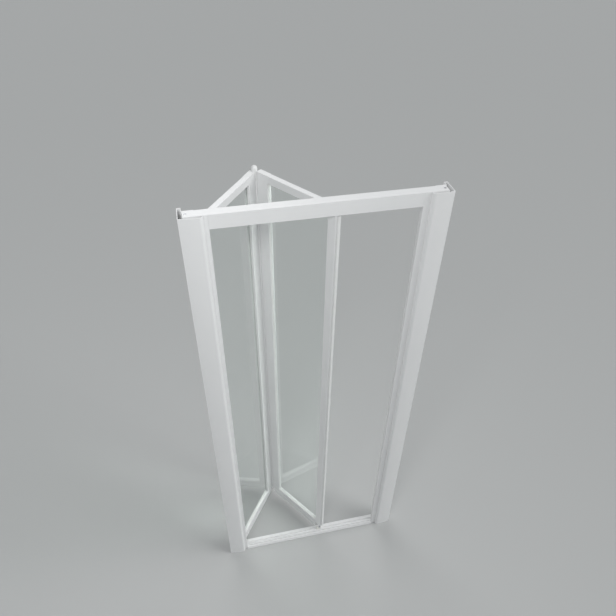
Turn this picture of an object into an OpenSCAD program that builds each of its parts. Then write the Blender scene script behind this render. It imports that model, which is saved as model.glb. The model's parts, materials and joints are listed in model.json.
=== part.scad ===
// Two-leaf folding shower door for a niche: wall profiles, jambs, rails and two glazed leaves
// that fold inward about a full-height hinge. X runs along the opening, Y into the shower, Z up.
// The origin is on the sill, midway between the walls, under the line of the pivots.

/* [Overall] */
// Width between the two walls
overall_w = 790; // [740:5:900]
// Height of the frame
overall_h = 1850; // [1700:10:2000]
// Angle of each leaf to the frame as modelled, 0 is closed
rest_fold = 54.5; // [40:0.5:70]

/* [Wall profiles] */
// Face width of a wall profile
profile_w = 70; // [64:1:84]
// Depth of the flange that lies on the wall
profile_d = 59; // [54:1:70]
// Wall thickness of the wall profiles
profile_wall = 2; // [1.6:0.1:2.4]
// Radius of the rounded nose beside the jamb
nose_r = 12; // [9:0.5:14]
// Setback of the crowned face at the wall behind its highest line
crown_sag = 5.3; // [3:0.1:7]
// Width of the deep lip at the back of the flange
back_lip_w = 12; // [8:0.5:13]
// Diameter of the wall screw holes
wall_hole_d = 5; // [4:0.1:6.5]
// Distance of the outer wall screw holes from each end
wall_hole_end = 100; // [60:5:200]
// Distance of the inner wall screw holes from each end
wall_hole_inner = 650; // [500:10:750]
// Distance of the outer adjusting screws from each end
adjust_end = 150; // [120:5:250]

/* [Jambs and rails] */
// Depth of the frame in front of the pivot line
frame_front = 17; // [16.5:0.5:20]
// Depth of the frame behind the pivot line
frame_back = 16; // [15:0.5:20]
// Wall thickness of jambs and rails
frame_wall = 1.8; // [1.5:0.1:2.2]
// Distance from the wall to the hidden edge of a jamb
jamb_start = 14; // [13:0.5:20]
// Visible width of the hinge-side jamb beside its wall profile
hinge_reveal = 11.5; // [9:0.5:16]
// Visible width of the closing-side jamb beside its wall profile
closing_reveal = 19.6; // [15:0.1:30]
// Depth of the recess behind the closing-side jamb's lip, where the lead edge closes
closing_recess = 8.5; // [7:0.5:11]
// Height of the top rail's front
top_rail_h = 46; // [42:1:60]
// Height of the top rail's back skirt
back_skirt_h = 18; // [14:0.5:18.5]
// Height of the bottom rail
sill_h = 22; // [18:0.5:24]
// Height of the step along the front of the bottom rail
sill_step_h = 14; // [10:0.5:15]
// How far the foot of the bottom rail stands in front of the jambs
sill_foot = 4; // [2:0.5:8]
// Thickness of the guide rib on the bottom rail
rib_t = 2.4; // [2:0.1:3]
// Height of the guide rib on the bottom rail
rib_h = 5; // [4:0.5:5.5]

/* [Leaves] */
// Thickness of the leaf frames
leaf_t = 20; // [19:0.5:21]
// Wall thickness of the leaf frames
leaf_wall = 1.6; // [1.2:0.1:2]
// Top of the leaves below the top of the frame
leaf_top_drop = 21; // [20:0.5:24]
// Height of the leaves' underside above the sill
leaf_bottom = 64; // [60:0.5:70]
// Face width of the hinge stile
hinge_stile_w = 36; // [34:1:48]
// Face width of each fold stile
fold_stile_w = 46; // [36:1:56]
// Face width of the lead stile without its seal
lead_stile_w = 32; // [30:0.5:36]
// Distance from the guide pins to the lead stile's outer face
lead_out = 12.5; // [11:0.5:13]
// Rounding of the lead stile's outer edges, which turn behind the top rail's front
lead_edge_r = 4; // [3.5:0.25:5]
// Height of the leaves' top rails
leaf_top_h = 26; // [22:1:40]
// Height of the leaves' bottom rails
leaf_base_h = 24; // [22:1:44]
// Rounding of the leaf frames' edges
leaf_edge_r = 2; // [1:0.25:3]
// Thickness of the clear panels
panel_t = 4; // [3:0.5:5]
// Depth of the glazing grooves
groove_d = 12; // [10:0.5:14]
// Width of the glazing grooves
groove_w = 12; // [10:0.5:13]
// How far the gaskets show past the frame
bead_w = 2; // [1:0.5:4]
// Height of the wipers under the leaves
wiper_h = 33; // [26:0.5:35]

/* [Hinges and guides] */
// Distance from the wall to the axis of the pivots
pivot_inset = 58; // [58:0.5:64]
// Diameter of the pivot and guide pins
pin_d = 6; // [5:0.5:7]
// Outside diameter of the pivot bushes
bush_d = 10; // [9:0.5:12]
// Diameter of the fold hinge's pin
hinge_pin_d = 5; // [4:0.5:6]
// Diameter of the fold hinge's knuckles
knuckle_d = 10; // [8.5:0.5:10]
// Number of knuckles along the fold hinge
knuckle_n = 11; // [7:2:17]
// Thickness of the fold hinge's plates
hinge_plate_t = 1.6; // [1.2:0.1:2]
// Diameter of the domed cap on the fold hinge
dome_d = 20; // [16:0.5:21]
// Height of the domed cap
dome_h = 17; // [12:0.5:17.5]
// Length of the top guide shoe
top_shoe_l = 44; // [30:1:60]
// Length of the bottom guide shoe
base_shoe_l = 24; // [20:1:25]
// Height of the bottom guide shoe
base_shoe_h = 11; // [9:0.5:20]
// Height of the bottom pivot bracket
base_bracket_h = 26; // [14:1:34]
// Thickness of the lead edge's magnetic seal
magnet_t = 5.5; // [3:0.5:7]

/* [Fits] */
// Radial clearance of the pins in their bores
running_gap = 0.05; // [0.03:0.01:0.1]
// Clearance between sliding or telescoping profiles
slide_gap = 0.3; // [0.2:0.05:0.4]
// Gap that is left between the closing seals when the door is shut
closed_gap = 0.7; // [0.5:0.1:2]

/* [Hidden] */

// Smooth rounding of small circles, and of the wide crown of the wall profiles
$fn = 48;
crown_fn = 1440;
eps = 0.01;

white = [0.93, 0.94, 0.93];
white_plastic = [0.9, 0.91, 0.9];
clear_panel = [0.82, 0.92, 0.88, 0.35];
seal_grey = [0.8, 0.83, 0.82];
steel = [0.72, 0.73, 0.75];
nylon = [0.86, 0.87, 0.86];

// Places along the opening
wall_x = overall_w / 2;
hinge_edge_u = profile_w + hinge_reveal;
closing_edge_u = profile_w + closing_reveal;
hinge_edge_x = -wall_x + hinge_edge_u;
closing_x = wall_x - closing_edge_u;
closing_web_u = closing_edge_u - closing_recess;
closing_face_x = wall_x - closing_web_u;
pivot_x = -wall_x + pivot_inset;
heel_r = leaf_t / 2;
heel_gap = 3;
web_u = pivot_inset - heel_r - heel_gap;
jamb_end_x = wall_x - jamb_start;

// Rail heights
rail_under = overall_h - frame_wall;
fascia_z = overall_h - top_rail_h;
skirt_z = overall_h - back_skirt_h;
leaf_top = overall_h - leaf_top_drop;
plug_t = 1.5;

// The leaves: two equal lengths between the pivot, the fold and the guide
jamb_magnet_t = 2.2;
leaf_l = (closing_face_x - jamb_magnet_t - closed_gap - magnet_t - lead_out - pivot_x) / 2;
fold_x = pivot_x + leaf_l * cos(rest_fold) + leaf_t / 2 * sin(rest_fold);
fold_y = leaf_l * sin(rest_fold) - leaf_t / 2 * cos(rest_fold);
guide_x = 2 * fold_x - pivot_x;

// The fold hinge, on the line where the two leaves' front faces meet
plate_gap = 1.2;
stile_gap = plate_gap + hinge_plate_t;
cove_r = knuckle_d / 2 + 0.4;
hinge_base = leaf_bottom + plug_t + 1;
hinge_top = fascia_z - 4;
knuckle_gap = 0.5;
knuckle_pitch = (hinge_top - hinge_base) / knuckle_n;

// Leaf frame places, from each leaf's own end
stile_base = leaf_bottom + plug_t;
stile_top = leaf_top - plug_t;
glass_base = leaf_bottom + leaf_base_h;
glass_top = leaf_top - leaf_top_h;
a_fold_out = leaf_l - stile_gap;
a_fold_in = a_fold_out - fold_stile_w;
a_hinge_in = hinge_stile_w - heel_r;
b_fold_in = stile_gap + fold_stile_w;
b_lead_out = leaf_l + lead_out;
b_lead_in = b_lead_out - lead_stile_w;
panel_bite = groove_d - 2;
key_w = 30;
key_gap = 0.2;

// Brackets, pins and shoes at the pivot and the guide
bracket_l = 33;
shoe_h = 11;
shoe_lift = 4;
bracket_top_z = leaf_top + shoe_lift;
channel_front = -frame_front + frame_wall;
channel_back = frame_back - frame_wall;
base_bracket_w = 24;
base_shoe_w = 12;
pin_sink = 14;
washer_d = 12;
clip_t = 1;
screw_d = 4;
head_d = 8;
head_h = 1.6;

// Heights of the screws that set the jambs in the wall profiles
adjust_z = [adjust_end, overall_h / 2, overall_h - adjust_end];
adjust_u = (jamb_start + web_u) / 2;
adjust_slot = 10;
profile_back = frame_back + key_gap;
nose_y = -frame_front - slide_gap;
nose_u = profile_w - nose_r;
crown_y = nose_y - nose_r;
crown_r = (nose_u * nose_u + crown_sag * crown_sag) / (2 * crown_sag);
flange_front = crown_y + crown_sag;
flange_back = flange_front + profile_d;
wall_hole_y = 0;

// Plane shapes
module block(x0, y0, x1, y1) {
  translate([x0, y0]) square([x1 - x0, y1 - y0]);
}

module round_block(x0, y0, x1, y1, r) {
  block(x0 + r, y0, x1 - r, y1);
  block(x0, y0 + r, x1, y1 - r);
  for (x = [x0 + r, x1 - r], y = [y0 + r, y1 - r]) translate([x, y]) circle(r = r);
}

// A bar along X from x0 to x1 with its section drawn in Y and Z
module bar(x0, x1) {
  translate([x0, 0, 0]) rotate([90, 0, 90]) linear_extrude(x1 - x0) children();
}

// A bar along Z from z0 to z1
module post(z0, z1) {
  translate([0, 0, z0]) linear_extrude(z1 - z0) children();
}

// Frames of reference: u from the left or right wall, and along each leaf
module from_left() {
  translate([-wall_x, 0, 0]) children();
}

module from_right() {
  mirror([1, 0, 0]) from_left() children();
}

module leaf_a() {
  translate([pivot_x, 0, 0]) rotate([0, 0, rest_fold]) children();
}

module leaf_b() {
  translate([fold_x, fold_y, 0]) rotate([0, 0, -rest_fold]) translate([0, leaf_t / 2, 0]) children();
}

// Wall profile
// The solid behind the crowned face, drawn in by inset
module crown_shape(inset) {
  intersection() {
    translate([nose_u, crown_y + crown_r]) circle(r = crown_r - inset, $fn = crown_fn);
    block(0, crown_y - 1, nose_u, nose_y);
  }
  intersection() {
    translate([nose_u, nose_y]) circle(r = nose_r - inset);
    block(nose_u - eps, nose_y - nose_r - 1, profile_w + 1, nose_y);
  }
}

module profile_section() {
  lip_in = back_lip_w - profile_wall;
  difference() {
    crown_shape(0);
    difference() {
      crown_shape(profile_wall);
      block(-1, crown_y - 1, profile_wall, nose_y + 1);
    }
  }
  block(0, nose_y - 1, profile_wall, flange_back);
  block(0, flange_back - profile_wall, back_lip_w, flange_back);
  block(lip_in, profile_back, back_lip_w, flange_back);
  block(lip_in, profile_back, web_u, profile_back + profile_wall);
}

module wall_profile() {
  color(white) difference() {
    post(0, overall_h) profile_section();
    for (z = [wall_hole_end, wall_hole_inner, overall_h - wall_hole_inner, overall_h - wall_hole_end])
      translate([-1, wall_hole_y, z]) rotate([0, 90, 0]) cylinder(d = wall_hole_d, h = profile_wall + 2);
    for (z = adjust_z) translate([adjust_u, profile_back - 1, z]) rotate([-90, 0, 0])
      cylinder(d = screw_d + 2 * key_gap, h = profile_wall + 2);
  }
}

module wall_profile_left() {
  from_left() wall_profile();
}

module wall_profile_right() {
  from_right() wall_profile();
}

// Jambs
lip_t = 3;
lip_d = 4.5;
module adjusting_slots() {
  for (z = adjust_z, s = [-1, 1]) translate([adjust_u + s * adjust_slot / 2, channel_back - 1, z])
    rotate([-90, 0, 0]) cylinder(d = screw_d + 2 * key_gap, h = frame_wall + 2);
  for (z = adjust_z) translate([adjust_u - adjust_slot / 2, channel_back - 1, z - screw_d / 2 - key_gap])
    cube([adjust_slot, frame_wall + 2, screw_d + 2 * key_gap]);
}

// A hollow box up to its web, and a flange in front of it with a rounded lip at the opening's edge
module jamb_section(web, edge) {
  difference() {
    block(jamb_start, -frame_front, web, frame_back);
    block(jamb_start + frame_wall, channel_front, web - frame_wall, channel_back);
  }
  block(web - eps, -frame_front, edge - lip_t, channel_front);
  difference() {
    round_block(edge - lip_t - 2, -frame_front, edge, -frame_front + lip_d, frame_edge_r);
    block(edge - lip_t - 3, channel_front, edge - lip_t, 0);
  }
}

module jamb_left() {
  color(white) from_left() difference() {
    post(0, rail_under) jamb_section(web_u, hinge_edge_u);
    adjusting_slots();
    sill_screw_holes(web_u);
    bracket_screw_holes(web_u - frame_wall);
  }
}

module jamb_right() {
  color(white) from_right() difference() {
    post(0, rail_under) jamb_section(closing_web_u, closing_edge_u);
    adjusting_slots();
    sill_screw_holes(closing_web_u);
    bracket_screw_holes(jamb_start);
  }
}

// Rails
frame_edge_r = 1.4;
module top_rail_section() {
  difference() {
    round_block(-frame_front, fascia_z, frame_back, overall_h + 2 * frame_edge_r, frame_edge_r);
    block(channel_front, fascia_z - 1, channel_back, rail_under);
    block(channel_back - 1, fascia_z - 1, frame_back + 1, skirt_z);
    block(-frame_front - 1, overall_h, frame_back + 1, overall_h + 2 * frame_edge_r + 1);
  }
}

// Countersunk screws through the ends of the top rail, and their holes; the back skirt has a notch
// that the fold hinge's cap passes through as the door leaves its closed place
top_screw_x = jamb_end_x - 8;
module rail_end_cut(web, edge) {
  h = top_rail_h + 1 - frame_wall;
  translate([-1, -frame_front - 1, fascia_z - 1]) cube([web + 1 + key_gap, frame_front + frame_back + 2, h]);
  translate([-1, -frame_front - 1, fascia_z - 1]) cube([edge + 1, lip_d + 1 + key_gap, h]);
}

module top_rail() {
  notch_w = dome_d + 8;
  color(white) difference() {
    bar(-jamb_end_x, jamb_end_x) top_rail_section();
    from_left() rail_end_cut(web_u, hinge_edge_u);
    from_right() rail_end_cut(closing_web_u, closing_edge_u);
    for (s = [-1, 1]) translate([s * top_screw_x, 0, rail_under - eps])
      cylinder(d1 = screw_d + 2 * key_gap, d2 = head_d + 2 * key_gap, h = frame_wall + 2 * eps);
    translate([pivot_x + leaf_l + dome_out - notch_w / 2, channel_back - 1, skirt_z - 1])
      cube([notch_w, frame_wall + 2, rail_under - skirt_z + 1]);
    at_top_bracket_screws() translate([0, 0, -1]) cylinder(d = screw_d + 2 * key_gap, h = frame_wall + 2);
  }
}

// Section of the bottom rail, drawn in by i all round: foot, sloped front, step and flat top
sill_slope = 4;
sill_foot_h = 4;
sill_ledge_rise = 0.6;
sill_riser_lean = 1.4;
function sill_points(i) = [
  [-frame_front - sill_foot + i, i],
  [-frame_front - sill_foot + i, sill_foot_h],
  [-frame_front + i, sill_step_h - i],
  [-frame_front + sill_slope + i, sill_step_h + sill_ledge_rise - i],
  [-frame_front + sill_slope + sill_riser_lean + i, sill_h - i],
  [frame_back - i, sill_h - i],
  [frame_back - i, i]];

module bottom_rail() {
  color(white) difference() {
    union() {
      bar(-wall_x + web_u + key_gap, closing_face_x - key_gap) difference() {
        polygon(sill_points(0));
        polygon(sill_points(frame_wall));
      }
      bar(pivot_x + bracket_l, closing_face_x - jamb_magnet_t - key_gap)
        block(-rib_t / 2, sill_h - eps, rib_t / 2, sill_h + rib_h);
    }
    at_base_bracket_screws() cylinder(d = screw_d, h = base_bracket_h);
    from_left() sill_end_notch(hinge_edge_u);
    from_right() sill_end_notch(closing_edge_u);
  }
}

// Room for a jamb's flange and lip at the front of the bottom rail
module sill_end_notch(edge) {
  translate([-1, -frame_front - sill_foot - 1, -1])
    cube([edge + 1 + key_gap, sill_foot + lip_d + 1 + key_gap, sill_h + 2]);
}

// Blocks inside the ends of the bottom rail that its end screws bite into
end_block_l = 24;
end_block_y = 4;
end_block_w = 16;
module sill_end_blocks() {
  h = sill_h - 2 * frame_wall - key_gap;
  color(nylon) difference() {
    for (x = [-wall_x + web_u + key_gap, closing_face_x - key_gap - end_block_l])
      translate([x, end_block_y - end_block_w / 2, frame_wall]) cube([end_block_l, end_block_w, h]);
    at_sill_screws() cylinder(d = screw_d, h = end_block_l);
  }
}

sill_screw_z = sill_h / 2;
sill_screw_l = 18;
sill_screw_dy = 4;
module at_sill_screws() {
  for (y = [end_block_y - sill_screw_dy, end_block_y + sill_screw_dy]) {
    translate([-wall_x + web_u - frame_wall, y, sill_screw_z]) rotate([0, 90, 0]) children();
    translate([closing_face_x + frame_wall, y, sill_screw_z]) rotate([0, -90, 0]) children();
  }
}

// Screw holes through a jamb's web for the bottom rail, and through a wall at u for the angle brackets
module sill_screw_holes(web) {
  for (y = [end_block_y - sill_screw_dy, end_block_y + sill_screw_dy])
    translate([web - frame_wall - 1, y, sill_screw_z]) rotate([0, 90, 0])
      cylinder(d = screw_d + 2 * key_gap, h = frame_wall + 2);
}

bracket_screw_drop = 22;
bracket_screw_pitch = 18;
bracket_screw_z = [overall_h - bracket_screw_drop - bracket_screw_pitch, overall_h - bracket_screw_drop];
module bracket_screw_holes(u) {
  for (z = bracket_screw_z) translate([u - 1, 0, z])
    rotate([0, 90, 0]) cylinder(d = screw_d + 2 * key_gap, h = frame_wall + 2);
}

// Angle brackets inside the tops of the jambs
angle_t = 2.5;
angle_w = 20;
angle_h = 44;
angle_l = web_u - jamb_start - 2 * frame_wall - key_gap;
module angle_bracket(upright_u) {
  difference() {
    union() {
      translate([jamb_start + frame_wall + key_gap / 2, -angle_w / 2, rail_under - angle_t])
        cube([angle_l, angle_w, angle_t]);
      translate([upright_u, -angle_w / 2, rail_under - angle_h]) cube([angle_t, angle_w, angle_h]);
    }
    translate([jamb_end_u(), 0, rail_under - angle_t - 1]) cylinder(d = screw_d, h = angle_t + 2);
    for (z = bracket_screw_z) translate([upright_u - 1, 0, z]) rotate([0, 90, 0])
      cylinder(d = screw_d, h = angle_t + 2);
  }
}
function jamb_end_u() = wall_x - top_screw_x;

module corner_brackets() {
  color(steel) {
    from_left() angle_bracket(web_u - frame_wall - key_gap / 2 - angle_t);
    from_right() angle_bracket(jamb_start + frame_wall + key_gap / 2);
  }
}

// A pan-head screw along +Z, its head's seat at the origin and its shank upwards
module pan_screw(shank) {
  cylinder(d = screw_d, h = shank);
  translate([0, 0, -head_h]) cylinder(d = head_d, h = head_h);
}

module frame_screws() {
  color(steel) {
    at_sill_screws() pan_screw(sill_screw_l);
    for (s = [-1, 1]) translate([s * top_screw_x, 0, 0]) {
      translate([0, 0, rail_under]) cylinder(d1 = screw_d, d2 = head_d, h = frame_wall);
      translate([0, 0, rail_under - angle_t - 2]) cylinder(d = screw_d, h = angle_t + 2 + eps);
    }
    for (z = bracket_screw_z) {
      from_left() translate([web_u, 0, z]) rotate([0, -90, 0]) pan_screw(frame_wall + angle_t + 2);
      from_right() translate([jamb_start, 0, z]) rotate([0, 90, 0]) pan_screw(frame_wall + angle_t + 2);
    }
  }
}

// Screws through the back of each wall profile into its jamb, and their caps
module at_adjusters() {
  for (z = adjust_z) {
    from_left() translate([adjust_u, profile_back + profile_wall, z]) rotate([90, 0, 0]) children();
    from_right() translate([adjust_u, profile_back + profile_wall, z]) rotate([90, 0, 0]) children();
  }
}

module adjusting_screws() {
  color(steel) at_adjusters() pan_screw(profile_wall + frame_wall + 4);
}

cap_d = 11;
cap_h = 3.2;
module adjusting_screw_caps() {
  color(white_plastic) at_adjusters() mirror([0, 0, 1]) difference() {
    rotate_extrude() intersection() {
      block(0, 0, cap_d / 2, cap_h);
      union() {
        block(0, 0, cap_d / 2 - 1.2, cap_h);
        block(0, 0, cap_d / 2, cap_h - 1.2);
        translate([cap_d / 2 - 1.2, cap_h - 1.2]) circle(r = 1.2);
      }
    }
    translate([0, 0, -1]) cylinder(d = head_d + 2 * key_gap, h = head_h + 1 + key_gap);
  }
}

// Pivot brackets, in the top rail's channel and on the bottom rail
bracket_x0 = -wall_x + web_u + head_h + 2 * key_gap;
bracket_x1 = pivot_x + bracket_l / 2 + 2;
module top_pivot_bracket() {
  color(nylon) difference() {
    translate([bracket_x0, channel_front + lip_d, bracket_top_z])
      cube([bracket_x1 - bracket_x0, channel_back - channel_front - lip_d, rail_under - bracket_top_z]);
    translate([pivot_x, 0, bracket_top_z - 1]) cylinder(d = bush_d, h = shoe_h + 1);
    at_top_bracket_screws() cylinder(d = screw_d, h = top_bracket_screw_l);
  }
}

top_bracket_screw_l = 13;
module at_top_bracket_screws() {
  translate([bracket_x1 - 5, frame_back, bracket_top_z + 8]) rotate([90, 0, 0]) children();
}

module bush(h) {
  difference() {
    cylinder(d = bush_d, h = h);
    translate([0, 0, -1]) cylinder(d = pin_d + 2 * running_gap, h = h + 2);
  }
}

module top_pivot_bush() {
  color(nylon) translate([pivot_x, 0, bracket_top_z]) bush(shoe_h);
}

module bottom_pivot_bracket() {
  color(nylon) difference() {
    translate([-wall_x + web_u + key_gap, -base_bracket_w / 2 + 1, sill_h])
      cube([bracket_x1 + wall_x - web_u, base_bracket_w - 1, base_bracket_h]);
    translate([pivot_x, 0, sill_h + 1]) cylinder(d = bush_d, h = base_bracket_h);
    at_base_bracket_screws() {
      cylinder(d = screw_d, h = base_bracket_h);
      mirror([0, 0, 1]) cylinder(d = head_d + 2 * key_gap, h = head_h + 1);
    }
  }
}

base_screw_dy = 5;
base_screw_in = 5;
base_screw_sink = 2;
module at_base_bracket_screws() {
  for (y = [-base_screw_dy, base_screw_dy])
    translate([bracket_x1 - base_screw_in, y, sill_h + base_bracket_h - base_screw_sink])
      rotate([180, 0, 0]) children();
}

module bottom_pivot_bush() {
  color(nylon) translate([pivot_x, 0, sill_h + 1]) bush(base_bracket_h - 1);
}

module pivot_bracket_screws() {
  color(steel) {
    at_base_bracket_screws() pan_screw(base_bracket_h + frame_wall + 1);
    at_top_bracket_screws() pan_screw(top_bracket_screw_l);
  }
}

// Seals on the frame
heel_bulb_r = (heel_gap - slide_gap) / 2;
module heel_seal() {
  color(seal_grey) from_left() post(sill_h + base_bracket_h + 1, bracket_top_z - angle_h + 10) {
    block(web_u, -4, web_u + 1, 4);
    translate([web_u + heel_bulb_r, 0]) circle(r = heel_bulb_r);
  }
}

module hinge_side_seal() {
  color(seal_grey) from_left() post(sill_h + 1, fascia_z - 1)
    round_block(hinge_edge_u - lip_t, -frame_front + lip_d, hinge_edge_u - 0.4, -leaf_t / 2 - slide_gap, 0.7);
}

module jamb_magnet_strip() {
  color(seal_grey) translate([closing_face_x - jamb_magnet_t, 0, 0]) post(sill_h + 1, fascia_z - 1)
    round_block(0, -7, jamb_magnet_t, 7, 0.7);
}

// Leaf frames
// Section of a stile whose groove side is at x = 0 and whose outer side is at x = w
module stile_section(w) {
  difference() {
    round_block(0, -leaf_t / 2, w, leaf_t / 2, leaf_edge_r);
    block(-1, -groove_w / 2, groove_d, groove_w / 2);
    block(groove_d + leaf_wall, -leaf_t / 2 + leaf_wall, w - leaf_wall, leaf_t / 2 - leaf_wall);
  }
}

module hinge_stile_section() {
  difference() {
    union() {
      round_block(0, -leaf_t / 2, a_hinge_in, leaf_t / 2, leaf_edge_r);
      block(0, -leaf_t / 2, leaf_edge_r, leaf_t / 2);
      circle(r = heel_r);
    }
    block(a_hinge_in - groove_d, -groove_w / 2, a_hinge_in + 1, groove_w / 2);
    block(0, -leaf_t / 2 + leaf_wall, a_hinge_in - groove_d - leaf_wall, leaf_t / 2 - leaf_wall);
    circle(r = heel_r - leaf_wall);
  }
}

// A rail's section in Y and Z with its groove at z = 0 and its outer side at z = h
module leaf_rail_section(h) {
  difference() {
    round_block(-leaf_t / 2, 0, leaf_t / 2, h, leaf_edge_r);
    block(-groove_w / 2, -1, groove_w / 2, groove_d);
    block(-leaf_t / 2 + leaf_wall, groove_d + leaf_wall, leaf_t / 2 - leaf_wall, h - leaf_wall);
  }
}

module top_bar(x0, x1) {
  bar(x0, x1) translate([0, glass_top]) leaf_rail_section(leaf_top_h);
}

module base_bar(x0, x1) {
  bar(x0, x1) translate([0, glass_base]) mirror([0, 1]) leaf_rail_section(leaf_base_h);
}

module glass(x0, x1) {
  color(clear_panel) translate([x0 - panel_bite, -panel_t / 2, glass_base - panel_bite])
    cube([x1 - x0 + 2 * panel_bite, panel_t, glass_top - glass_base + 2 * panel_bite]);
}

// Glazing gaskets in front of and behind a panel
module gaskets(x0, x1) {
  g = (groove_w - panel_t) / 2;
  color(seal_grey) for (s = [-1, 1]) translate([0, s * (panel_t + g) / 2, 0]) difference() {
    translate([x0 - panel_bite, -g / 2, glass_base - panel_bite])
      cube([x1 - x0 + 2 * panel_bite, g, glass_top - glass_base + 2 * panel_bite]);
    translate([x0 + bead_w, -g / 2 - 1, glass_base + bead_w])
      cube([x1 - x0 - 2 * bead_w, g + 2, glass_top - glass_base - 2 * bead_w]);
  }
}

// Corner keys: a block in the rail's hollow with a tongue in the stile's groove
module key_at(x, side, z0, z1) {
  t = leaf_t - 2 * leaf_wall - 2 * key_gap;
  tongue = groove_w - 2 * key_gap;
  translate([x, 0, 0]) mirror([side < 0 ? 1 : 0, 0, 0]) difference() {
    union() {
      translate([0, -t / 2, z0 + key_gap]) cube([key_w, t, z1 - z0 - 2 * key_gap]);
      translate([key_gap - groove_d, -tongue / 2, z0 + key_gap])
        cube([groove_d, tongue, z1 - z0 - 2 * key_gap]);
    }
    for (u = [-groove_d / 2, key_w * 0.6]) translate([u, leaf_t / 2, (z0 + z1) / 2]) rotate([90, 0, 0])
      cylinder(d = key_screw_d, h = leaf_t / 2 + 2);
  }
}

key_screw_d = 3.5;
key_head_d = 6.5;
key_head_h = 1;
top_key_z = [glass_top + groove_d + leaf_wall, leaf_top - leaf_wall];
base_key_z = [leaf_bottom + leaf_wall, glass_base - groove_d - leaf_wall];

module corner_keys(x0, x1) {
  color(nylon) for (z = [top_key_z, base_key_z]) {
    key_at(x0, 1, z[0], z[1]);
    key_at(x1, -1, z[0], z[1]);
  }
}

module at_key_screws(x0, x1) {
  for (z = [top_key_z, base_key_z], u = [-groove_d / 2, key_w * 0.6], e = [[x0, 1], [x1, -1]])
    translate([e[0] + e[1] * u, leaf_t / 2, (z[0] + z[1]) / 2]) rotate([90, 0, 0]) children();
}

module key_screws(x0, x1) {
  color(steel) at_key_screws(x0, x1) {
    cylinder(d = key_screw_d, h = leaf_t / 2);
    translate([0, 0, -key_head_h]) cylinder(d = key_head_d, h = key_head_h);
  }
}

// Clearance for the key screws through the leaf frame
module key_screw_holes(x0, x1) {
  at_key_screws(x0, x1) translate([0, 0, -1]) cylinder(d = key_screw_d, h = leaf_t / 2 + 1);
}

// Wiper under a leaf: a flat base with two long fins
wiper_w = 16;
fin_t = 1.2;
module wiper(x0, x1) {
  color(seal_grey) bar(x0, x1) {
    block(-wiper_w / 2, leaf_bottom - 1.4, wiper_w / 2, leaf_bottom);
    for (s = [-1, 1]) translate([s * (wiper_w - fin_t) / 2, 0])
      block(-fin_t / 2, leaf_bottom - wiper_h, fin_t / 2, leaf_bottom - 1);
  }
}

// The cove that the hinge's knuckles turn in, along a leaf's end
module cove(x, z0, z1) {
  translate([x, -leaf_t / 2, z0]) cylinder(r = cove_r, h = z1 - z0);
}

// Leaf A, hung on the pivots
module leaf_a_hinge_stile() {
  color(white) leaf_a() difference() {
    post(stile_base, stile_top) hinge_stile_section();
    key_screw_holes(a_hinge_in, a_fold_in);
  }
}

module leaf_a_fold_stile() {
  color(white) leaf_a() difference() {
    translate([a_fold_in, 0, 0]) post(stile_base, stile_top) stile_section(fold_stile_w);
    cove(leaf_l, stile_base - 1, stile_top + 1);
    key_screw_holes(a_hinge_in, a_fold_in);
  }
}

module leaf_a_top_rail() {
  color(white) leaf_a() difference() {
    top_bar(a_hinge_in, a_fold_in);
    key_screw_holes(a_hinge_in, a_fold_in);
  }
}

module leaf_a_bottom_rail() {
  color(white) leaf_a() difference() {
    base_bar(a_hinge_in, a_fold_in);
    key_screw_holes(a_hinge_in, a_fold_in);
  }
}

module leaf_a_panel() {
  leaf_a() glass(a_hinge_in, a_fold_in);
}

module leaf_a_gaskets() {
  leaf_a() gaskets(a_hinge_in, a_fold_in);
}

module leaf_a_corner_keys() {
  leaf_a() corner_keys(a_hinge_in, a_fold_in);
}

module leaf_a_screws() {
  leaf_a() key_screws(a_hinge_in, a_fold_in);
}

module leaf_a_wiper() {
  leaf_a() wiper(a_hinge_in + 2, a_fold_out - cove_r);
}

// End plugs: a cover plate over the stile's end with a spigot in its hollow
module plug_pair() {
  translate([0, 0, stile_top]) children();
  translate([0, 0, stile_base]) mirror([0, 0, 1]) children();
}

spigot = 16;
module fold_plug(x_cove, x_groove, dir) {
  x0 = min(x_groove, x_groove + dir * fold_stile_w);
  core0 = dir > 0 ? x0 + groove_d + leaf_wall : x0 + leaf_wall;
  core1 = core0 + fold_stile_w - groove_d - 2 * leaf_wall;
  difference() {
    union() {
      linear_extrude(plug_t) round_block(x0, -leaf_t / 2, x0 + fold_stile_w, leaf_t / 2, leaf_edge_r);
      translate([0, 0, -spigot]) linear_extrude(spigot + eps)
        block(core0 + key_gap, -leaf_t / 2 + leaf_wall + key_gap,
          core1 - key_gap, leaf_t / 2 - leaf_wall - key_gap);
    }
    translate([x_cove, -leaf_t / 2, -spigot - 1]) cylinder(r = cove_r + leaf_wall, h = spigot + 1);
    translate([x_cove, -leaf_t / 2, -1]) cylinder(r = cove_r, h = plug_t + 2);
  }
}

module hinge_plug() {
  difference() {
    union() {
      linear_extrude(plug_t) {
        round_block(0, -leaf_t / 2, a_hinge_in, leaf_t / 2, leaf_edge_r);
        block(0, -leaf_t / 2, leaf_edge_r, leaf_t / 2);
        circle(r = heel_r);
      }
      translate([0, 0, -spigot]) linear_extrude(spigot + eps) {
        block(0, -leaf_t / 2 + leaf_wall + key_gap, a_hinge_in - groove_d - leaf_wall - key_gap,
          leaf_t / 2 - leaf_wall - key_gap);
        circle(r = heel_r - leaf_wall - key_gap);
      }
    }
    translate([0, 0, -spigot - 1]) cylinder(d = pin_d, h = spigot + plug_t + 2);
  }
}

module lead_plug() {
  difference() {
    union() {
      linear_extrude(plug_t) lead_outline();
      translate([0, 0, -spigot]) linear_extrude(spigot + eps)
        lead_shape(lead_core + key_gap, leaf_wall + key_gap);
    }
    translate([leaf_l, 0, -spigot - 1]) cylinder(d = pin_d, h = spigot + plug_t + 2);
  }
}

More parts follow.
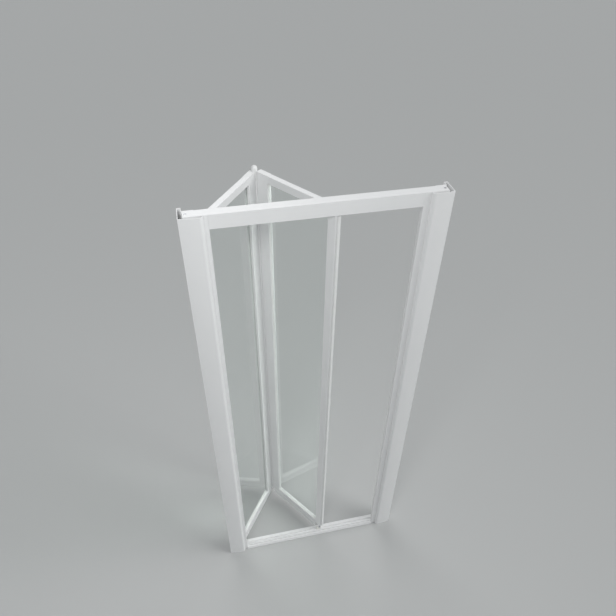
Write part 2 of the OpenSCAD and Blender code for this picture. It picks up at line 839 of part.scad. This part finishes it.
module leaf_a_end_plugs() {
  color(white_plastic) leaf_a() plug_pair() {
    hinge_plug();
    fold_plug(leaf_l, a_fold_in, 1);
  }
}

// The pins that the door turns on, and the washers that carry its weight
pin_top_reach = bracket_top_z + shoe_h - 1;
pin_base_reach = sill_h + 2;
module leaf_pins(x, z_top, z_base) {
  translate([x, 0, stile_top - pin_sink]) cylinder(d = pin_d, h = z_top - stile_top + pin_sink);
  translate([x, 0, z_base]) cylinder(d = pin_d, h = stile_base + pin_sink - z_base);
}

module pivot_pins() {
  color(steel) leaf_a() leaf_pins(0, pin_top_reach, pin_base_reach);
}

module washer(h) {
  difference() {
    cylinder(d = washer_d, h = h);
    translate([0, 0, -1]) cylinder(d = pin_d, h = h + 2);
  }
}

module pivot_washers() {
  color(nylon) leaf_a() {
    translate([0, 0, leaf_top]) washer(shoe_lift - slide_gap);
    translate([0, 0, sill_h + base_bracket_h + slide_gap])
      washer(leaf_bottom - sill_h - base_bracket_h - slide_gap);
  }
}

// Fold hinge: a plate on each leaf's end with every second knuckle
module knuckles(first) {
  for (i = [first : 2 : knuckle_n - 1])
    translate([0, 0, hinge_base + i * knuckle_pitch + knuckle_gap / 2]) children();
}

module hinge_half(first, dir) {
  difference() {
    union() {
      translate([dir > 0 ? plate_gap : -plate_gap - hinge_plate_t, 0, hinge_base])
        cube([hinge_plate_t, leaf_t - leaf_edge_r, hinge_top - hinge_base]);
      knuckles(first) cylinder(d = knuckle_d, h = knuckle_pitch - knuckle_gap);
    }
    knuckles(1 - first) translate([0, 0, -knuckle_gap])
      cylinder(r = cove_r, h = knuckle_pitch + knuckle_gap);
    translate([0, 0, hinge_base - 1])
      cylinder(d = hinge_pin_d + 2 * running_gap, h = hinge_top - hinge_base + 2);
  }
}

module fold_hinge_a() {
  color(white) leaf_a() translate([leaf_l, -leaf_t / 2, 0]) hinge_half(0, -1);
}

module fold_hinge_b() {
  color(white) leaf_b() translate([0, -leaf_t / 2, 0]) hinge_half(1, 1);
}

pin_over = 6;
module fold_hinge_pin() {
  color(steel) leaf_a() translate([leaf_l, -leaf_t / 2, leaf_bottom - 3])
    cylinder(d = hinge_pin_d, h = leaf_top + pin_over - leaf_bottom + 3);
}

// Domed cap over the top of the fold hinge, set back from the pin towards the leaf's middle, with a
// sleeve that covers the pin down to the first knuckle
dome_back = 6;
dome_out = 2;
sleeve_d = 9;
module fold_hinge_dome() {
  edge = dome_d / 2;
  rise = dome_h - 2;
  sleeve_z = hinge_top + knuckle_gap / 2;
  color(white_plastic) leaf_a() difference() {
    union() {
      translate([leaf_l + dome_out, -leaf_t / 2 + dome_back, leaf_top + slide_gap]) rotate_extrude()
        intersection() {
          block(0, 0, edge, dome_h);
          union() {
            block(0, 0, edge - 1.5, 2);
            block(0, 0, edge, rise - edge + 2);
            translate([0, rise - edge + 2]) circle(r = edge);
          }
        }
      translate([leaf_l, -leaf_t / 2, sleeve_z])
        cylinder(d = sleeve_d, h = leaf_top + slide_gap + 2 - sleeve_z);
    }
    translate([leaf_l, -leaf_t / 2, sleeve_z - 1])
      cylinder(d = hinge_pin_d, h = leaf_top + pin_over - sleeve_z + 1);
  }
}

foot_cap_d = 15;
module fold_hinge_foot_cap() {
  color(white_plastic) leaf_a() translate([leaf_l, -leaf_t / 2, leaf_bottom - slide_gap]) mirror([0, 0, 1])
    difference() {
      rotate_extrude() intersection() {
        block(0, 0, foot_cap_d / 2, 5);
        union() {
          block(0, 0, foot_cap_d / 2, 2.5);
          translate([0, 2.5]) circle(r = 2.5);
          block(0, 0, foot_cap_d / 2 - 2.5, 5);
          translate([foot_cap_d / 2 - 2.5, 2.5]) circle(r = 2.5);
        }
      }
      translate([0, 0, -1]) cylinder(d = hinge_pin_d, h = 4 - slide_gap);
    }
}

// The lead stile's plane shape from x0 to its rounded outer face, drawn in by inset
lead_core = b_lead_in + groove_d + leaf_wall;
module lead_shape(x0, inset) {
  y = leaf_t / 2 - inset;
  block(x0, -y, b_lead_out - lead_edge_r, y);
  round_block(b_lead_out - 3 * lead_edge_r, -y, b_lead_out - inset, y, lead_edge_r - inset);
}

module lead_outline() {
  round_block(b_lead_in, -leaf_t / 2, b_lead_out - lead_edge_r, leaf_t / 2, leaf_edge_r);
  lead_shape(lead_core, 0);
}

// Leaf B, guided along the rails
module leaf_b_fold_stile() {
  color(white) leaf_b() difference() {
    translate([b_fold_in, 0, 0]) mirror([1, 0, 0]) post(stile_base, stile_top) stile_section(fold_stile_w);
    cove(0, stile_base - 1, stile_top + 1);
    key_screw_holes(b_fold_in, b_lead_in);
  }
}

module leaf_b_lead_stile() {
  color(white) leaf_b() difference() {
    post(stile_base, stile_top) difference() {
      lead_outline();
      block(b_lead_in - 1, -groove_w / 2, b_lead_in + groove_d, groove_w / 2);
      lead_shape(lead_core, leaf_wall);
    }
    key_screw_holes(b_fold_in, b_lead_in);
  }
}

module leaf_b_top_rail() {
  color(white) leaf_b() difference() {
    top_bar(b_fold_in, b_lead_in);
    key_screw_holes(b_fold_in, b_lead_in);
  }
}

module leaf_b_bottom_rail() {
  color(white) leaf_b() difference() {
    base_bar(b_fold_in, b_lead_in);
    key_screw_holes(b_fold_in, b_lead_in);
  }
}

module leaf_b_panel() {
  leaf_b() glass(b_fold_in, b_lead_in);
}

module leaf_b_gaskets() {
  leaf_b() gaskets(b_fold_in, b_lead_in);
}

module leaf_b_corner_keys() {
  leaf_b() corner_keys(b_fold_in, b_lead_in);
}

module leaf_b_screws() {
  leaf_b() key_screws(b_fold_in, b_lead_in);
}

module leaf_b_wiper() {
  leaf_b() wiper(stile_gap + cove_r, b_lead_in - 4);
}

module leaf_b_end_plugs() {
  color(white_plastic) leaf_b() plug_pair() {
    lead_plug();
    fold_plug(0, b_fold_in, -1);
  }
}

// The magnetic seal stands on the flat of the lead stile's outer face and ends under the top rail
module leaf_b_magnet_strip() {
  y = leaf_t / 2 - lead_edge_r;
  color(seal_grey) leaf_b() post(stile_base + 4, hinge_top)
    round_block(b_lead_out, -y, b_lead_out + magnet_t, y, 1.2);
}

// Guides at the lead edge: a shoe in the top rail's channel and one astride the bottom rib; each
// has a short nose past its pin, so that it stops short of the closing jamb
shoe_nose = 8;
shoe_base_z = sill_h + slide_gap;
base_shoe_top = shoe_base_z + base_shoe_h;
guide_top_reach = bracket_top_z + shoe_h + clip_t + 0.6;
module guide_pins() {
  color(steel) leaf_b() leaf_pins(leaf_l, guide_top_reach, sill_h + rib_h + 1.2);
}

module guide_pin_clips() {
  color(steel) leaf_b() for (z = [base_shoe_top, bracket_top_z + shoe_h])
    translate([leaf_l, 0, z + slide_gap]) difference() {
      cylinder(d = pin_d + 5, h = clip_t);
      translate([0, 0, -1]) cylinder(d = pin_d, h = clip_t + 2);
    }
}

module at_guide() {
  translate([guide_x, 0, 0]) children();
}

module top_guide_shoe() {
  color(nylon) at_guide() difference() {
    post(bracket_top_z, bracket_top_z + shoe_h)
      round_block(shoe_nose - top_shoe_l, channel_front + slide_gap, shoe_nose, channel_back - slide_gap, 4);
    translate([0, 0, bracket_top_z - 1]) cylinder(d = pin_d + 2 * running_gap, h = shoe_h + 2);
  }
}

module bottom_guide_shoe() {
  color(nylon) at_guide() difference() {
    post(shoe_base_z, base_shoe_top)
      round_block(shoe_nose - base_shoe_l, -base_shoe_w / 2, shoe_nose, base_shoe_w / 2, 3);
    translate([-base_shoe_l, -rib_t / 2 - slide_gap, shoe_base_z - 1])
      cube([2 * base_shoe_l, rib_t + 2 * slide_gap, rib_h + 1 + slide_gap]);
    translate([0, 0, sill_h]) cylinder(d = pin_d + 2 * running_gap, h = base_shoe_h + 2);
  }
}

wall_profile_left();
wall_profile_right();
jamb_left();
jamb_right();
top_rail();
bottom_rail();
sill_end_blocks();
corner_brackets();
frame_screws();
adjusting_screws();
adjusting_screw_caps();
top_pivot_bracket();
top_pivot_bush();
bottom_pivot_bracket();
bottom_pivot_bush();
pivot_bracket_screws();
heel_seal();
hinge_side_seal();
jamb_magnet_strip();
leaf_a_hinge_stile();
leaf_a_fold_stile();
leaf_a_top_rail();
leaf_a_bottom_rail();
leaf_a_panel();
leaf_a_gaskets();
leaf_a_corner_keys();
leaf_a_screws();
leaf_a_end_plugs();
leaf_a_wiper();
fold_hinge_a();
fold_hinge_pin();
fold_hinge_dome();
fold_hinge_foot_cap();
pivot_pins();
pivot_washers();
leaf_b_fold_stile();
leaf_b_lead_stile();
leaf_b_top_rail();
leaf_b_bottom_rail();
leaf_b_panel();
leaf_b_gaskets();
leaf_b_corner_keys();
leaf_b_screws();
leaf_b_end_plugs();
leaf_b_wiper();
fold_hinge_b();
leaf_b_magnet_strip();
guide_pins();
guide_pin_clips();
top_guide_shoe();
bottom_guide_shoe();
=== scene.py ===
import json
import math

import bmesh
import bpy
import numpy as np
from mathutils import Matrix, Vector


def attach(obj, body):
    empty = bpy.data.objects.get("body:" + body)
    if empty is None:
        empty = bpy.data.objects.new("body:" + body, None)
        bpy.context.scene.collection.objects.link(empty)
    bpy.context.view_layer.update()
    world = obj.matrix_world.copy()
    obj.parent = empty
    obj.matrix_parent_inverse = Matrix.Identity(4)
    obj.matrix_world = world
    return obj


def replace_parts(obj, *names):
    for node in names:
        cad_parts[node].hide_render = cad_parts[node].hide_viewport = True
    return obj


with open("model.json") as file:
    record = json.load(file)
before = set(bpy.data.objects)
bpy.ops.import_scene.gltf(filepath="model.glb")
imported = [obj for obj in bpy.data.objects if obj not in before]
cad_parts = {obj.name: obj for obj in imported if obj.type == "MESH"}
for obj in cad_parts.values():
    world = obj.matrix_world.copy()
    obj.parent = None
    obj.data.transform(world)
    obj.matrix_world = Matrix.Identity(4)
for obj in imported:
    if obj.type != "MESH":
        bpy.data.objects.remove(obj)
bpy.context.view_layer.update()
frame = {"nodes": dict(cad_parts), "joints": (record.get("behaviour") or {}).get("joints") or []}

# Leaf angle at rest
LEAF_FOLD = math.radians(frame["joints"][0]["range_deg"][0])

# Camera of the photograph
CAMERA_PLACE = (-0.34122, -1.33838, 2.63558)
CAMERA_TURN = 0.2281
CAMERA_DOWN = 0.7077
CAMERA_ROLL = 0.0160
CAMERA_LENS = 32.68
CAMERA_SENSOR = 36.0


def node(tree, kind, inputs=None, **settings):
    """A shader node with its settings, and its inputs set to values or linked to sockets."""
    made = tree.nodes.new(kind)
    for key, value in settings.items():
        setattr(made, key, value)
    for key, value in (inputs or {}).items():
        if isinstance(value, bpy.types.NodeSocket):
            tree.links.new(value, made.inputs[key])
        else:
            made.inputs[key].default_value = value
    return made


def new_material(name):
    """An empty node material: (material, tree, principled node)."""
    material = bpy.data.materials.new(name)
    material.use_nodes = True
    tree = material.node_tree
    tree.nodes.clear()
    shader = node(tree, "ShaderNodeBsdfPrincipled")
    output = node(tree, "ShaderNodeOutputMaterial")
    tree.links.new(shader.outputs[0], output.inputs[0])
    return material, tree, shader


def object_points(tree, turn=(0, 0, 0), scale=(1, 1, 1)):
    """Points in metres in the part's own frame, turned and stretched."""
    place = node(tree, "ShaderNodeTexCoord").outputs["Object"]
    inputs = {"Vector": place, "Rotation": turn}
    turned = node(tree, "ShaderNodeVectorRotate", inputs, rotation_type="EULER_XYZ").outputs[0]
    return node(tree, "ShaderNodeVectorMath", {0: turned, 1: scale}, operation="MULTIPLY").outputs[0]


def noise(tree, points, scale, detail=2.0, roughness=0.5):
    """Soft noise whose scale is in cells to a metre."""
    inputs = {"Vector": points, "Scale": scale, "Detail": detail, "Roughness": roughness}
    return node(tree, "ShaderNodeTexNoise", inputs).outputs["Fac"]


def spread(tree, value, low, high, start=0.3, end=0.7):
    """The value from start to end, mapped to low to high and held there."""
    inputs = {"Value": value, "From Min": start, "From Max": end, "To Min": low, "To Max": high}
    return node(tree, "ShaderNodeMapRange", inputs, clamp=True).outputs[0]


def mix_colours(tree, value, first, second):
    mixed = node(tree, "ShaderNodeMix", data_type="RGBA")
    tree.links.new(value, mixed.inputs["Factor"])
    mixed.inputs["A"].default_value = (*first, 1)
    mixed.inputs["B"].default_value = (*second, 1)
    return mixed.outputs["Result"]


def bump(tree, height, distance, strength=1.0, under=None):
    inputs = {"Height": height, "Distance": distance, "Strength": strength}
    if under is not None:
        inputs["Normal"] = under
    return node(tree, "ShaderNodeBump", inputs).outputs[0]


# Depths of the fine relief in metres, and ranges of roughness
GRAIN_DEPTH = 0.00001
DIE_LINE_DEPTH = 0.000006
WAVE_DEPTH = 0.0002
COAT_ROUGH = (0.285, 0.345)
STEEL_ROUGH = (0.285, 0.40)
PANEL_ROUGH = (0.0, 0.04)

COAT_LIGHT = (0.86, 0.865, 0.865)
COAT_SHADE = (0.842, 0.85, 0.85)


def white_coat(name, turn):
    """White powder coat on an extrusion whose length lies along X once turned: orange peel, and
    faint lines that the die left under it."""
    material, tree, shader = new_material(name)
    points = object_points(tree, turn)
    along = object_points(tree, turn, (1.5, 620, 620))
    broad = noise(tree, points, 7, 3)
    peel = noise(tree, points, 420, 1)
    lines = noise(tree, along, 1, 2)
    colour = mix_colours(tree, spread(tree, broad, 0, 1), COAT_LIGHT, COAT_SHADE)
    tree.links.new(colour, shader.inputs["Base Color"])
    tree.links.new(spread(tree, noise(tree, points, 60, 2), *COAT_ROUGH), shader.inputs["Roughness"])
    under = bump(tree, lines, DIE_LINE_DEPTH, 0.5)
    tree.links.new(bump(tree, peel, GRAIN_DEPTH, 0.4, under), shader.inputs["Normal"])
    shader.inputs["Coat Weight"].default_value = 0.25
    shader.inputs["Coat Roughness"].default_value = 0.12
    return material


def moulded(name, light, shade, rough, grain, subsurface=0.0, depth=0.0015):
    """Moulded plastic, a little cloudy and with a fine grain, which light enters to a depth in metres."""
    material, tree, shader = new_material(name)
    points = object_points(tree)
    colour = mix_colours(tree, spread(tree, noise(tree, points, 45, 3), 0, 1), light, shade)
    tree.links.new(colour, shader.inputs["Base Color"])
    gloss = spread(tree, noise(tree, points, 240, 2), rough - 0.05, rough + 0.07)
    tree.links.new(gloss, shader.inputs["Roughness"])
    tree.links.new(bump(tree, noise(tree, points, grain, 2), GRAIN_DEPTH, 0.5), shader.inputs["Normal"])
    if subsurface:
        shader.inputs["Subsurface Weight"].default_value = subsurface
        shader.inputs["Subsurface Radius"].default_value = (1, 1, 1)
        shader.inputs["Subsurface Scale"].default_value = depth
    return material


def bright_steel(name):
    """Zinc-plated steel: fine turning marks and a faint cloud."""
    material, tree, shader = new_material(name)
    points = object_points(tree)
    cloud = spread(tree, noise(tree, points, 90, 3), 0, 1)
    colour = mix_colours(tree, cloud, (0.62, 0.63, 0.65), (0.52, 0.53, 0.55))
    tree.links.new(colour, shader.inputs["Base Color"])
    tree.links.new(spread(tree, noise(tree, points, 700, 2), *STEEL_ROUGH), shader.inputs["Roughness"])
    turning = noise(tree, object_points(tree, scale=(60, 60, 2400)), 1, 2)
    tree.links.new(bump(tree, turning, GRAIN_DEPTH, 0.5), shader.inputs["Normal"])
    shader.inputs["Metallic"].default_value = 1.0
    return material


def clear_panel(name):
    """Clear sheet with a cool green cast: lamps pass it, and faint wipe marks dull its gloss."""
    material, tree, shader = new_material(name)
    points = object_points(tree)
    marks = noise(tree, object_points(tree, scale=(9, 9, 2)), 3, 5, 0.6)
    tree.links.new(spread(tree, marks, *PANEL_ROUGH, 0.45, 0.8), shader.inputs["Roughness"])
    tree.links.new(bump(tree, noise(tree, points, 5, 1), WAVE_DEPTH, 0.15), shader.inputs["Normal"])
    shader.inputs["Base Color"].default_value = (0.965, 0.993, 0.98, 1)
    shader.inputs["Transmission Weight"].default_value = 1.0
    shader.inputs["IOR"].default_value = 1.49
    passing = node(tree, "ShaderNodeBsdfTransparent", {"Color": (0.94, 0.975, 0.955, 1)})
    lamps = node(tree, "ShaderNodeLightPath").outputs["Is Shadow Ray"]
    mixed = node(tree, "ShaderNodeMixShader", {0: lamps, 1: shader.outputs[0], 2: passing.outputs[0]})
    output = next(n for n in tree.nodes if n.type == "OUTPUT_MATERIAL")
    tree.links.new(mixed.outputs[0], output.inputs[0])
    return material


QUARTER = math.pi / 2
UPRIGHT = (0, QUARTER, 0)
LEVEL = (0, 0, 0)
LEVEL_A = (0, 0, LEAF_FOLD)
LEVEL_B = (0, 0, -LEAF_FOLD)

COAT_UPRIGHT = white_coat("white_coat_upright", UPRIGHT)
COAT_LEVEL = white_coat("white_coat_level", LEVEL)
COAT_LEVEL_A = white_coat("white_coat_leaf_a", LEVEL_A)
COAT_LEVEL_B = white_coat("white_coat_leaf_b", LEVEL_B)
WHITE_PLASTIC = moulded("white_plastic", (0.86, 0.865, 0.86), (0.84, 0.85, 0.845), 0.34, 500)
NYLON = moulded("natural_nylon", (0.80, 0.80, 0.77), (0.74, 0.74, 0.71), 0.45, 1200, 0.3)
SEAL = moulded("soft_seal", (0.85, 0.86, 0.85), (0.81, 0.82, 0.81), 0.38, 1600, 0.2)
WIPER = moulded("pale_vinyl", (0.95, 0.96, 0.955), (0.92, 0.93, 0.925), 0.36, 900, 0.8, 0.004)
STEEL = bright_steel("bright_steel")
PANEL = clear_panel("clear_panel")

FINISHES = {
    COAT_UPRIGHT: ["wall_profile_left", "wall_profile_right", "jamb_left", "jamb_right",
                   "leaf_a_hinge_stile", "leaf_a_fold_stile", "leaf_b_fold_stile", "leaf_b_lead_stile",
                   "fold_hinge_a", "fold_hinge_b"],
    COAT_LEVEL: ["top_rail", "bottom_rail"],
    COAT_LEVEL_A: ["leaf_a_top_rail", "leaf_a_bottom_rail"],
    COAT_LEVEL_B: ["leaf_b_top_rail", "leaf_b_bottom_rail"],
    WHITE_PLASTIC: ["adjusting_screw_caps", "leaf_a_end_plugs", "leaf_b_end_plugs", "fold_hinge_dome",
                    "fold_hinge_foot_cap"],
    NYLON: ["sill_end_blocks", "top_pivot_bracket", "top_pivot_bush", "bottom_pivot_bracket",
            "bottom_pivot_bush", "pivot_washers", "leaf_a_corner_keys", "leaf_b_corner_keys",
            "top_guide_shoe", "bottom_guide_shoe"],
    SEAL: ["heel_seal", "hinge_side_seal", "jamb_magnet_strip", "leaf_b_magnet_strip", "leaf_a_gaskets",
           "leaf_b_gaskets"],
    WIPER: ["leaf_a_wiper", "leaf_b_wiper"],
    STEEL: ["corner_brackets", "fold_hinge_pin", "pivot_pins", "guide_pins", "guide_pin_clips",
            "frame_screws", "adjusting_screws", "pivot_bracket_screws", "leaf_a_screws", "leaf_b_screws"],
    PANEL: ["leaf_a_panel", "leaf_b_panel"],
}


def give_finishes():
    for material, names in FINISHES.items():
        for name in names:
            mesh = frame["nodes"][name].data
            mesh.materials.clear()
            mesh.materials.append(material)


give_finishes()

# Soft edges: welded corners with a small rounding, and normals that keep the flat faces flat
WELD_GAP = 0.00001
EDGE_ANGLE = math.radians(35)
EDGE_PLAIN = 0.0003
EDGE_SOFT = 0.0007
SHARP_NODES = FINISHES[PANEL]
SOFT_NODES = ["leaf_a_gaskets", "leaf_b_gaskets", "sill_end_blocks", "bottom_pivot_bracket"]


def soften_edges():
    for name, obj in frame["nodes"].items():
        if name in SHARP_NODES or name in SCREW_NODES:
            continue
        weld = obj.modifiers.new("weld", "WELD")
        weld.merge_threshold = WELD_GAP
        edge = obj.modifiers.new("edge", "BEVEL")
        edge.width = EDGE_SOFT if name in SOFT_NODES else EDGE_PLAIN
        edge.segments = 2
        edge.limit_method = "ANGLE"
        edge.angle_limit = EDGE_ANGLE
        edge.use_clamp_overlap = True
        even = obj.modifiers.new("even", "WEIGHTED_NORMAL")
        even.keep_sharp = True


# Screws with a cross recess and a rolled thread, in place of the plain ones
SCREW_NODES = {"frame_screws": "frame", "adjusting_screws": "frame", "pivot_bracket_screws": "frame",
               "leaf_a_screws": "leaf_a", "leaf_b_screws": "leaf_b"}
ROUND = 32
HEAD_RINGS = 12
HEAD_ROUNDING = 0.0007
FLAT_MARGIN = 0.0002
THREAD_PITCH = 0.00125
THREAD_DEPTH = 0.00042
THREAD_SLOPE = 1.5
RINGS_A_TURN = 6
TIP_LENGTH = 1.2
TIP_RADIUS = 0.12
RECESS_REACH = 0.53
RECESS_HALF_WIDTH = 0.13
RECESS_DEPTH = 0.0009
SAME_POINT = 0.000005
SAME_SIZE = 0.00005


def islands(mesh):
    """The separate solids of a mesh: for each, its points and its faces' normals and areas."""
    work = bmesh.new()
    work.from_mesh(mesh)
    bmesh.ops.remove_doubles(work, verts=work.verts, dist=SAME_POINT)
    left = set(work.verts)
    while left:
        seed = min(left, key=lambda v: v.index)
        group, queue = {seed}, [seed]
        while queue:
            for link in queue.pop().link_edges:
                for vert in link.verts:
                    if vert not in group:
                        group.add(vert)
                        queue.append(vert)
        left -= group
        faces = {face for vert in group for face in vert.link_faces}
        yield (np.array([v.co for v in sorted(group, key=lambda v: v.index)]),
               [(face.normal.copy(), face.calc_area()) for face in sorted(faces, key=lambda f: f.index)])
    work.free()


def round_axis(normals):
    """The axis of a turned solid: the direction whose share of the faces is unlike the other two."""
    spread_of = sum(np.outer(n, n) * area for n, area in normals)
    shares, axes = np.linalg.eigh(spread_of)
    odd = 0 if abs(shares[1] - shares[2]) < abs(shares[1] - shares[0]) else 2
    return axes[:, odd]


def recess(x, y, head_r):
    """Depth of the cross recess at a point of a head's face."""
    reach = head_r * RECESS_REACH
    out = max(abs(x), abs(y))
    if out > reach or min(abs(x), abs(y)) > RECESS_HALF_WIDTH * head_r:
        return 0.0
    return RECESS_DEPTH * (1 - 0.5 * out / reach)


def screw_rings(head_r, head_h, cone_h, shank_r, length):
    """Rings of a screw from the middle of its head to its tip: radius, height and kind."""
    flat_r = head_r - (HEAD_ROUNDING if head_h else FLAT_MARGIN)
    for k in range(1, HEAD_RINGS + 1):
        yield flat_r * k / HEAD_RINGS, -head_h, "face"
    if head_h:
        for k in (1, 2, 3):
            turn = k * QUARTER / 3
            out, down = math.sin(turn), 1 - math.cos(turn)
            yield flat_r + HEAD_ROUNDING * out, -head_h + HEAD_ROUNDING * down, "plain"
    yield head_r, 0, "plain"
    yield shank_r, cone_h, "plain"
    threads = max(1, round((length - cone_h) / THREAD_PITCH * RINGS_A_TURN))
    for k in range(1, threads + 1):
        yield shank_r, cone_h + (length - cone_h) * k / threads, "thread"


def add_screw(verts, faces, place, head_r, head_h, cone_h, shank_r, length):
    """Adds one screw, its head's seat at the place's origin and its shank along +Z."""
    def put(x, y, z):
        verts.append(place @ Vector((x, y, z)))

    first = len(verts)
    put(0, 0, -head_h + recess(0, 0, head_r))
    count = 0
    tip = length - TIP_LENGTH * shank_r
    for radius, z, kind in screw_rings(head_r, head_h, cone_h, shank_r, length):
        for k in range(ROUND):
            turn = 2 * math.pi * k / ROUND
            r = radius
            if kind == "thread":
                phase = (z / THREAD_PITCH - k / ROUND) % 1
                r -= THREAD_DEPTH * min(1, abs(2 * phase - 1) * THREAD_SLOPE)
                if z > tip:
                    r *= max(TIP_RADIUS, (length - z) / (length - tip))
            x, y = r * math.cos(turn), r * math.sin(turn)
            put(x, y, z + (recess(x, y, head_r) if kind == "face" else 0))
        count += 1
    put(0, 0, length)
    for k in range(ROUND):
        after = (k + 1) % ROUND
        faces.append((first, first + 1 + after, first + 1 + k))
        for ring in range(count - 1):
            a = first + 1 + ring * ROUND
            faces.append((a + k, a + after, a + ROUND + after, a + ROUND + k))
        a = first + 1 + (count - 1) * ROUND
        faces.append((a + k, a + after, first + 1 + count * ROUND))


def screw_of(points, normals):
    """Place and sizes of one plain CAD screw: (matrix, head radius, head height, cone, shank radius,
    length)."""
    axis = round_axis(normals)
    middle = points.mean(0)
    along = (points - middle) @ axis
    centre = (points.max(0) + points.min(0)) / 2
    off = points - centre
    radius = np.linalg.norm(off - np.outer(off @ axis, axis), axis=1)
    low_r, high_r = (radius[abs(along - end) < SAME_SIZE].max() for end in (along.min(), along.max()))
    if high_r > low_r:
        axis, along = -axis, -along
    head_r, shank_r = radius.max(), min(low_r, high_r)
    rim = along[radius > head_r - SAME_SIZE]
    head_h = rim.max() - rim.min()
    shoulder = along[radius < shank_r + SAME_SIZE].min()
    cone_h = shoulder - along.min() if head_h < FLAT_MARGIN else 0.0
    start = centre + axis * ((points @ axis).min() - centre @ axis + head_h)
    place = Matrix.Translation(start) @ Vector(axis).to_track_quat("Z", "Y").to_matrix().to_4x4()
    return place, head_r, head_h, cone_h, shank_r, float(along.max() - along.min() - head_h)


def make_screws():
    for name, body in SCREW_NODES.items():
        verts, faces = [], []
        for points, normals in islands(frame["nodes"][name].data):
            add_screw(verts, faces, *screw_of(points, normals))
        mesh = bpy.data.meshes.new(name + "_threaded")
        mesh.from_pydata(verts, [], faces)
        mesh.shade_smooth()
        mesh.set_sharp_from_angle(angle=EDGE_ANGLE)
        mesh.materials.append(STEEL)
        obj = bpy.data.objects.new(name + "_threaded", mesh)
        bpy.context.scene.collection.objects.link(obj)
        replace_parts(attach(obj, body), name)


make_screws()
soften_edges()

# Floor, light and camera
FLOOR_COLOUR = (0.52, 0.53, 0.525)
FLOOR_ROUGH = 0.9
FLOOR_SIDE = 60.0
WORLD_COLOUR = (0.94, 0.97, 1.0)
WORLD_STRENGTH = 0.30
SEEN_STRENGTH = 0.43


def make_floor():
    bpy.ops.mesh.primitive_plane_add(size=FLOOR_SIDE, location=(0, 0, 0))
    floor = bpy.context.object
    floor.name = "floor"
    material, tree, shader = new_material("floor_paper")
    shader.inputs["Base Color"].default_value = (*FLOOR_COLOUR, 1)
    shader.inputs["Roughness"].default_value = FLOOR_ROUGH
    floor.data.materials.append(material)


def add_lamp(kind, name, place, aim, energy, size):
    """A lamp at a place that looks at a point: size is metres for AREA and degrees for SUN."""
    lamp = bpy.data.lights.new(name, kind)
    if kind == "SUN":
        lamp.angle = math.radians(size)
    else:
        lamp.shape = "RECTANGLE"
        lamp.size, lamp.size_y = size
    lamp.energy = energy
    holder = bpy.data.objects.new(name, lamp)
    bpy.context.scene.collection.objects.link(holder)
    holder.location = place
    holder.rotation_mode = "QUATERNION"
    holder.rotation_quaternion = (Vector(aim) - Vector(place)).to_track_quat("-Z", "Y")


def make_world():
    """A plain world that lights softly, and that the camera, gloss and glass see as pale as the floor."""
    world = bpy.data.worlds.new("studio")
    bpy.context.scene.world = world
    world.use_nodes = True
    tree = world.node_tree
    back = tree.nodes["Background"]
    back.inputs["Color"].default_value = (*WORLD_COLOUR, 1)
    path = node(tree, "ShaderNodeLightPath").outputs
    seen = path["Is Camera Ray"]
    for other in ("Is Glossy Ray", "Is Transmission Ray"):
        seen = node(tree, "ShaderNodeMath", {0: seen, 1: path[other]}, operation="MAXIMUM").outputs[0]
    tree.links.new(spread(tree, seen, WORLD_STRENGTH, SEEN_STRENGTH, 0, 1), back.inputs["Strength"])


def make_camera():
    data = bpy.data.cameras.new("camera")
    data.sensor_width = CAMERA_SENSOR
    data.lens = CAMERA_LENS
    camera = bpy.data.objects.new("camera", data)
    bpy.context.scene.collection.objects.link(camera)
    turn = (Matrix.Rotation(-CAMERA_TURN, 4, "Z") @ Matrix.Rotation(QUARTER - CAMERA_DOWN, 4, "X")
            @ Matrix.Rotation(CAMERA_ROLL, 4, "Z"))
    camera.matrix_world = Matrix.Translation(CAMERA_PLACE) @ turn
    bpy.context.scene.camera = camera


make_floor()
make_world()
add_lamp("AREA", "front", (-1.0, -1.9, 3.3), (0, 0, 1.6), 15.5, (1.0, 1.0))
add_lamp("AREA", "near", (-0.5, -1.1, 2.7), (0, 0, 1.2), 4.6, (0.5, 0.5))
add_lamp("SUN", "side", (2.6, -0.9, 2.85), (0, 0, 0.9), 1.45, 40)
add_lamp("SUN", "back", (-0.4, 2.6, 3.4), (0, 0, 1.0), 0.6, 40)
make_camera()
bpy.context.scene.view_settings.view_transform = "Standard"
